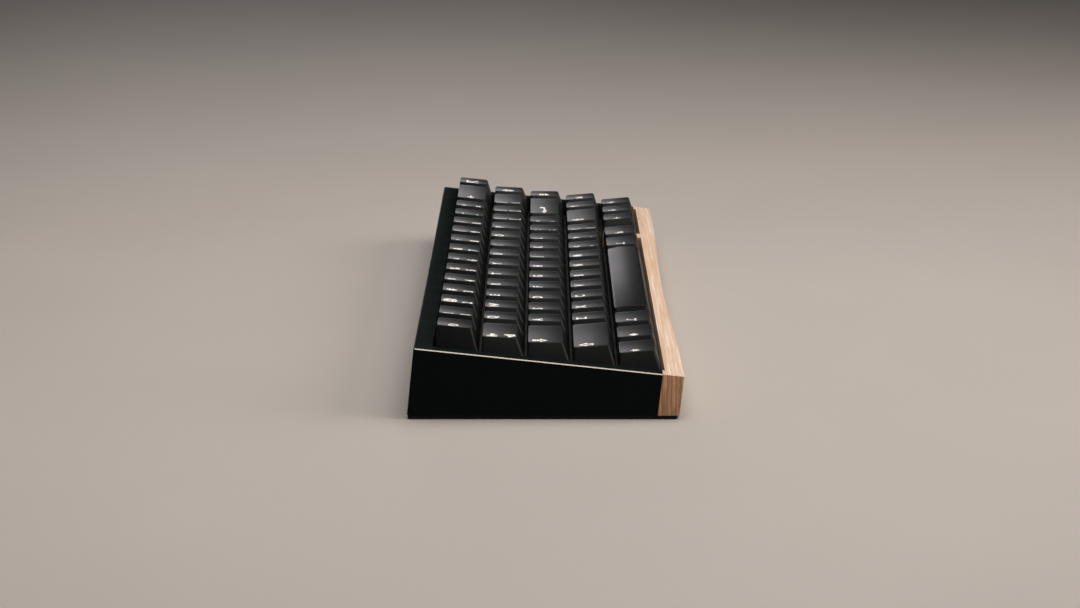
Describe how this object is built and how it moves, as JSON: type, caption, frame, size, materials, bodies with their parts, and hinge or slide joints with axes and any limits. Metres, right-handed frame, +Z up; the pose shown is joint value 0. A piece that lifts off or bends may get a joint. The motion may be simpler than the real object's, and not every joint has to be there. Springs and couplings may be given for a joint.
{
  "type": "mechanical keyboard",
  "caption": "Compact mechanical keyboard: dark metal case on a slope, sculpted dark keycaps that press down on switches, and a pale wooden bar as its front wall.",
  "frame": {"origin": "centre of the bounding box's bottom face, on the desk under the middle of the case", "axes": "+X along the keyboard to the typist's right, +Y away from the typist to the back, +Z up from the desk"},
  "size_m": [0.3176, 0.1142, 0.0379],
  "materials": {
    "case_metal": "black anodised, satin",
    "base_metal": "matte black",
    "pale_wood": "oiled, satin",
    "plate_metal": "matte black",
    "board_lacquer": "dark solder mask",
    "cap_plastic": "fine moulded texture",
    "foot_rubber": "matte"
  },
  "bodies": {
    "case": {"case_body": "case_metal", "wood_front": "pale_wood", "bottom_plate": "base_metal", "switch_plate": "plate_metal", "circuit_board": "board_lacquer", "rubber_foot_front": "foot_rubber", "rubber_foot_rear": "foot_rubber"},
    "key_escape": {"key_escape": "cap_plastic"},
    "number_keys": {"number_keys": "cap_plastic"},
    "key_backspace": {"key_backspace": "cap_plastic"},
    "navigation_keys": {"navigation_keys": "cap_plastic"},
    "key_tab": {"key_tab": "cap_plastic"},
    "key_q": {"key_q": "cap_plastic"},
    "key_w": {"key_w": "cap_plastic"},
    "key_e": {"key_e": "cap_plastic"},
    "key_r": {"key_r": "cap_plastic"},
    "key_t": {"key_t": "cap_plastic"},
    "key_y": {"key_y": "cap_plastic"},
    "key_u": {"key_u": "cap_plastic"},
    "key_i": {"key_i": "cap_plastic"},
    "key_o": {"key_o": "cap_plastic"},
    "key_p": {"key_p": "cap_plastic"},
    "key_left_bracket": {"key_left_bracket": "cap_plastic"},
    "key_right_bracket": {"key_right_bracket": "cap_plastic"},
    "key_backslash": {"key_backslash": "cap_plastic"},
    "key_caps_lock": {"key_caps_lock": "cap_plastic"},
    "key_a": {"key_a": "cap_plastic"},
    "key_s": {"key_s": "cap_plastic"},
    "key_d": {"key_d": "cap_plastic"},
    "key_f": {"key_f": "cap_plastic"},
    "key_g": {"key_g": "cap_plastic"},
    "key_h": {"key_h": "cap_plastic"},
    "key_j": {"key_j": "cap_plastic"},
    "key_k": {"key_k": "cap_plastic"},
    "key_l": {"key_l": "cap_plastic"},
    "key_semicolon": {"key_semicolon": "cap_plastic"},
    "key_quote": {"key_quote": "cap_plastic"},
    "key_enter": {"key_enter": "cap_plastic"},
    "key_left_shift": {"key_left_shift": "cap_plastic"},
    "key_z": {"key_z": "cap_plastic"},
    "key_x": {"key_x": "cap_plastic"},
    "key_c": {"key_c": "cap_plastic"},
    "key_v": {"key_v": "cap_plastic"},
    "key_b": {"key_b": "cap_plastic"},
    "key_n": {"key_n": "cap_plastic"},
    "key_m": {"key_m": "cap_plastic"},
    "key_comma": {"key_comma": "cap_plastic"},
    "key_period": {"key_period": "cap_plastic"},
    "key_slash": {"key_slash": "cap_plastic"},
    "key_right_shift": {"key_right_shift": "cap_plastic"},
    "key_up": {"key_up": "cap_plastic"},
    "key_left_control": {"key_left_control": "cap_plastic"},
    "key_left_super": {"key_left_super": "cap_plastic"},
    "key_left_alt": {"key_left_alt": "cap_plastic"},
    "key_space": {"key_space": "cap_plastic"},
    "key_right_alt": {"key_right_alt": "cap_plastic"},
    "key_function": {"key_function": "cap_plastic"},
    "key_left": {"key_left": "cap_plastic"},
    "key_down": {"key_down": "cap_plastic"},
    "key_right": {"key_right": "cap_plastic"}
  },
  "joints": [
    {"name": "press_escape", "type": "slide", "parent": "case", "child": "key_escape", "axis": [0, 0.1073, -0.9942], "range_m": [0, 0.004], "stiffness_N_per_m": 75, "springref_m": -0.004},
    {"name": "press_number_keys", "type": "slide", "parent": "case", "child": "number_keys", "axis": [0, 0.1073, -0.9942], "range_m": [0, 0.004], "stiffness_N_per_m": 900, "springref_m": -0.004},
    {"name": "press_backspace", "type": "slide", "parent": "case", "child": "key_backspace", "axis": [0, 0.1073, -0.9942], "range_m": [0, 0.004], "stiffness_N_per_m": 75, "springref_m": -0.004},
    {"name": "press_navigation_keys", "type": "slide", "parent": "case", "child": "navigation_keys", "axis": [0, 0.1073, -0.9942], "range_m": [0, 0.004], "stiffness_N_per_m": 300, "springref_m": -0.004},
    {"name": "press_tab", "type": "slide", "parent": "case", "child": "key_tab", "axis": [0, 0.1073, -0.9942], "range_m": [0, 0.004], "stiffness_N_per_m": 75, "springref_m": -0.004},
    {"name": "press_q", "type": "slide", "parent": "case", "child": "key_q", "axis": [0, 0.1073, -0.9942], "range_m": [0, 0.004], "stiffness_N_per_m": 75, "springref_m": -0.004},
    {"name": "press_w", "type": "slide", "parent": "case", "child": "key_w", "axis": [0, 0.1073, -0.9942], "range_m": [0, 0.004], "stiffness_N_per_m": 75, "springref_m": -0.004},
    {"name": "press_e", "type": "slide", "parent": "case", "child": "key_e", "axis": [0, 0.1073, -0.9942], "range_m": [0, 0.004], "stiffness_N_per_m": 75, "springref_m": -0.004},
    {"name": "press_r", "type": "slide", "parent": "case", "child": "key_r", "axis": [0, 0.1073, -0.9942], "range_m": [0, 0.004], "stiffness_N_per_m": 75, "springref_m": -0.004},
    {"name": "press_t", "type": "slide", "parent": "case", "child": "key_t", "axis": [0, 0.1073, -0.9942], "range_m": [0, 0.004], "stiffness_N_per_m": 75, "springref_m": -0.004},
    {"name": "press_y", "type": "slide", "parent": "case", "child": "key_y", "axis": [0, 0.1073, -0.9942], "range_m": [0, 0.004], "stiffness_N_per_m": 75, "springref_m": -0.004},
    {"name": "press_u", "type": "slide", "parent": "case", "child": "key_u", "axis": [0, 0.1073, -0.9942], "range_m": [0, 0.004], "stiffness_N_per_m": 75, "springref_m": -0.004},
    {"name": "press_i", "type": "slide", "parent": "case", "child": "key_i", "axis": [0, 0.1073, -0.9942], "range_m": [0, 0.004], "stiffness_N_per_m": 75, "springref_m": -0.004},
    {"name": "press_o", "type": "slide", "parent": "case", "child": "key_o", "axis": [0, 0.1073, -0.9942], "range_m": [0, 0.004], "stiffness_N_per_m": 75, "springref_m": -0.004},
    {"name": "press_p", "type": "slide", "parent": "case", "child": "key_p", "axis": [0, 0.1073, -0.9942], "range_m": [0, 0.004], "stiffness_N_per_m": 75, "springref_m": -0.004},
    {"name": "press_left_bracket", "type": "slide", "parent": "case", "child": "key_left_bracket", "axis": [0, 0.1073, -0.9942], "range_m": [0, 0.004], "stiffness_N_per_m": 75, "springref_m": -0.004},
    {"name": "press_right_bracket", "type": "slide", "parent": "case", "child": "key_right_bracket", "axis": [0, 0.1073, -0.9942], "range_m": [0, 0.004], "stiffness_N_per_m": 75, "springref_m": -0.004},
    {"name": "press_backslash", "type": "slide", "parent": "case", "child": "key_backslash", "axis": [0, 0.1073, -0.9942], "range_m": [0, 0.004], "stiffness_N_per_m": 75, "springref_m": -0.004},
    {"name": "press_caps_lock", "type": "slide", "parent": "case", "child": "key_caps_lock", "axis": [0, 0.1073, -0.9942], "range_m": [0, 0.004], "stiffness_N_per_m": 75, "springref_m": -0.004},
    {"name": "press_a", "type": "slide", "parent": "case", "child": "key_a", "axis": [0, 0.1073, -0.9942], "range_m": [0, 0.004], "stiffness_N_per_m": 75, "springref_m": -0.004},
    {"name": "press_s", "type": "slide", "parent": "case", "child": "key_s", "axis": [0, 0.1073, -0.9942], "range_m": [0, 0.004], "stiffness_N_per_m": 75, "springref_m": -0.004},
    {"name": "press_d", "type": "slide", "parent": "case", "child": "key_d", "axis": [0, 0.1073, -0.9942], "range_m": [0, 0.004], "stiffness_N_per_m": 75, "springref_m": -0.004},
    {"name": "press_f", "type": "slide", "parent": "case", "child": "key_f", "axis": [0, 0.1073, -0.9942], "range_m": [0, 0.004], "stiffness_N_per_m": 75, "springref_m": -0.004},
    {"name": "press_g", "type": "slide", "parent": "case", "child": "key_g", "axis": [0, 0.1073, -0.9942], "range_m": [0, 0.004], "stiffness_N_per_m": 75, "springref_m": -0.004},
    {"name": "press_h", "type": "slide", "parent": "case", "child": "key_h", "axis": [0, 0.1073, -0.9942], "range_m": [0, 0.004], "stiffness_N_per_m": 75, "springref_m": -0.004},
    {"name": "press_j", "type": "slide", "parent": "case", "child": "key_j", "axis": [0, 0.1073, -0.9942], "range_m": [0, 0.004], "stiffness_N_per_m": 75, "springref_m": -0.004},
    {"name": "press_k", "type": "slide", "parent": "case", "child": "key_k", "axis": [0, 0.1073, -0.9942], "range_m": [0, 0.004], "stiffness_N_per_m": 75, "springref_m": -0.004},
    {"name": "press_l", "type": "slide", "parent": "case", "child": "key_l", "axis": [0, 0.1073, -0.9942], "range_m": [0, 0.004], "stiffness_N_per_m": 75, "springref_m": -0.004},
    {"name": "press_semicolon", "type": "slide", "parent": "case", "child": "key_semicolon", "axis": [0, 0.1073, -0.9942], "range_m": [0, 0.004], "stiffness_N_per_m": 75, "springref_m": -0.004},
    {"name": "press_quote", "type": "slide", "parent": "case", "child": "key_quote", "axis": [0, 0.1073, -0.9942], "range_m": [0, 0.004], "stiffness_N_per_m": 75, "springref_m": -0.004},
    {"name": "press_enter", "type": "slide", "parent": "case", "child": "key_enter", "axis": [0, 0.1073, -0.9942], "range_m": [0, 0.004], "stiffness_N_per_m": 75, "springref_m": -0.004},
    {"name": "press_left_shift", "type": "slide", "parent": "case", "child": "key_left_shift", "axis": [0, 0.1073, -0.9942], "range_m": [0, 0.004], "stiffness_N_per_m": 75, "springref_m": -0.004},
    {"name": "press_z", "type": "slide", "parent": "case", "child": "key_z", "axis": [0, 0.1073, -0.9942], "range_m": [0, 0.004], "stiffness_N_per_m": 75, "springref_m": -0.004},
    {"name": "press_x", "type": "slide", "parent": "case", "child": "key_x", "axis": [0, 0.1073, -0.9942], "range_m": [0, 0.004], "stiffness_N_per_m": 75, "springref_m": -0.004},
    {"name": "press_c", "type": "slide", "parent": "case", "child": "key_c", "axis": [0, 0.1073, -0.9942], "range_m": [0, 0.004], "stiffness_N_per_m": 75, "springref_m": -0.004},
    {"name": "press_v", "type": "slide", "parent": "case", "child": "key_v", "axis": [0, 0.1073, -0.9942], "range_m": [0, 0.004], "stiffness_N_per_m": 75, "springref_m": -0.004},
    {"name": "press_b", "type": "slide", "parent": "case", "child": "key_b", "axis": [0, 0.1073, -0.9942], "range_m": [0, 0.004], "stiffness_N_per_m": 75, "springref_m": -0.004},
    {"name": "press_n", "type": "slide", "parent": "case", "child": "key_n", "axis": [0, 0.1073, -0.9942], "range_m": [0, 0.004], "stiffness_N_per_m": 75, "springref_m": -0.004},
    {"name": "press_m", "type": "slide", "parent": "case", "child": "key_m", "axis": [0, 0.1073, -0.9942], "range_m": [0, 0.004], "stiffness_N_per_m": 75, "springref_m": -0.004},
    {"name": "press_comma", "type": "slide", "parent": "case", "child": "key_comma", "axis": [0, 0.1073, -0.9942], "range_m": [0, 0.004], "stiffness_N_per_m": 75, "springref_m": -0.004},
    {"name": "press_period", "type": "slide", "parent": "case", "child": "key_period", "axis": [0, 0.1073, -0.9942], "range_m": [0, 0.004], "stiffness_N_per_m": 75, "springref_m": -0.004},
    {"name": "press_slash", "type": "slide", "parent": "case", "child": "key_slash", "axis": [0, 0.1073, -0.9942], "range_m": [0, 0.004], "stiffness_N_per_m": 75, "springref_m": -0.004},
    {"name": "press_right_shift", "type": "slide", "parent": "case", "child": "key_right_shift", "axis": [0, 0.1073, -0.9942], "range_m": [0, 0.004], "stiffness_N_per_m": 75, "springref_m": -0.004},
    {"name": "press_up", "type": "slide", "parent": "case", "child": "key_up", "axis": [0, 0.1073, -0.9942], "range_m": [0, 0.004], "stiffness_N_per_m": 75, "springref_m": -0.004},
    {"name": "press_left_control", "type": "slide", "parent": "case", "child": "key_left_control", "axis": [0, 0.1073, -0.9942], "range_m": [0, 0.004], "stiffness_N_per_m": 75, "springref_m": -0.004},
    {"name": "press_left_super", "type": "slide", "parent": "case", "child": "key_left_super", "axis": [0, 0.1073, -0.9942], "range_m": [0, 0.004], "stiffness_N_per_m": 75, "springref_m": -0.004},
    {"name": "press_left_alt", "type": "slide", "parent": "case", "child": "key_left_alt", "axis": [0, 0.1073, -0.9942], "range_m": [0, 0.004], "stiffness_N_per_m": 75, "springref_m": -0.004},
    {"name": "press_space", "type": "slide", "parent": "case", "child": "key_space", "axis": [0, 0.1073, -0.9942], "range_m": [0, 0.004], "stiffness_N_per_m": 75, "springref_m": -0.004},
    {"name": "press_right_alt", "type": "slide", "parent": "case", "child": "key_right_alt", "axis": [0, 0.1073, -0.9942], "range_m": [0, 0.004], "stiffness_N_per_m": 75, "springref_m": -0.004},
    {"name": "press_function", "type": "slide", "parent": "case", "child": "key_function", "axis": [0, 0.1073, -0.9942], "range_m": [0, 0.004], "stiffness_N_per_m": 75, "springref_m": -0.004},
    {"name": "press_left", "type": "slide", "parent": "case", "child": "key_left", "axis": [0, 0.1073, -0.9942], "range_m": [0, 0.004], "stiffness_N_per_m": 75, "springref_m": -0.004},
    {"name": "press_down", "type": "slide", "parent": "case", "child": "key_down", "axis": [0, 0.1073, -0.9942], "range_m": [0, 0.004], "stiffness_N_per_m": 75, "springref_m": -0.004},
    {"name": "press_right", "type": "slide", "parent": "case", "child": "key_right", "axis": [0, 0.1073, -0.9942], "range_m": [0, 0.004], "stiffness_N_per_m": 75, "springref_m": -0.004}
  ]
}
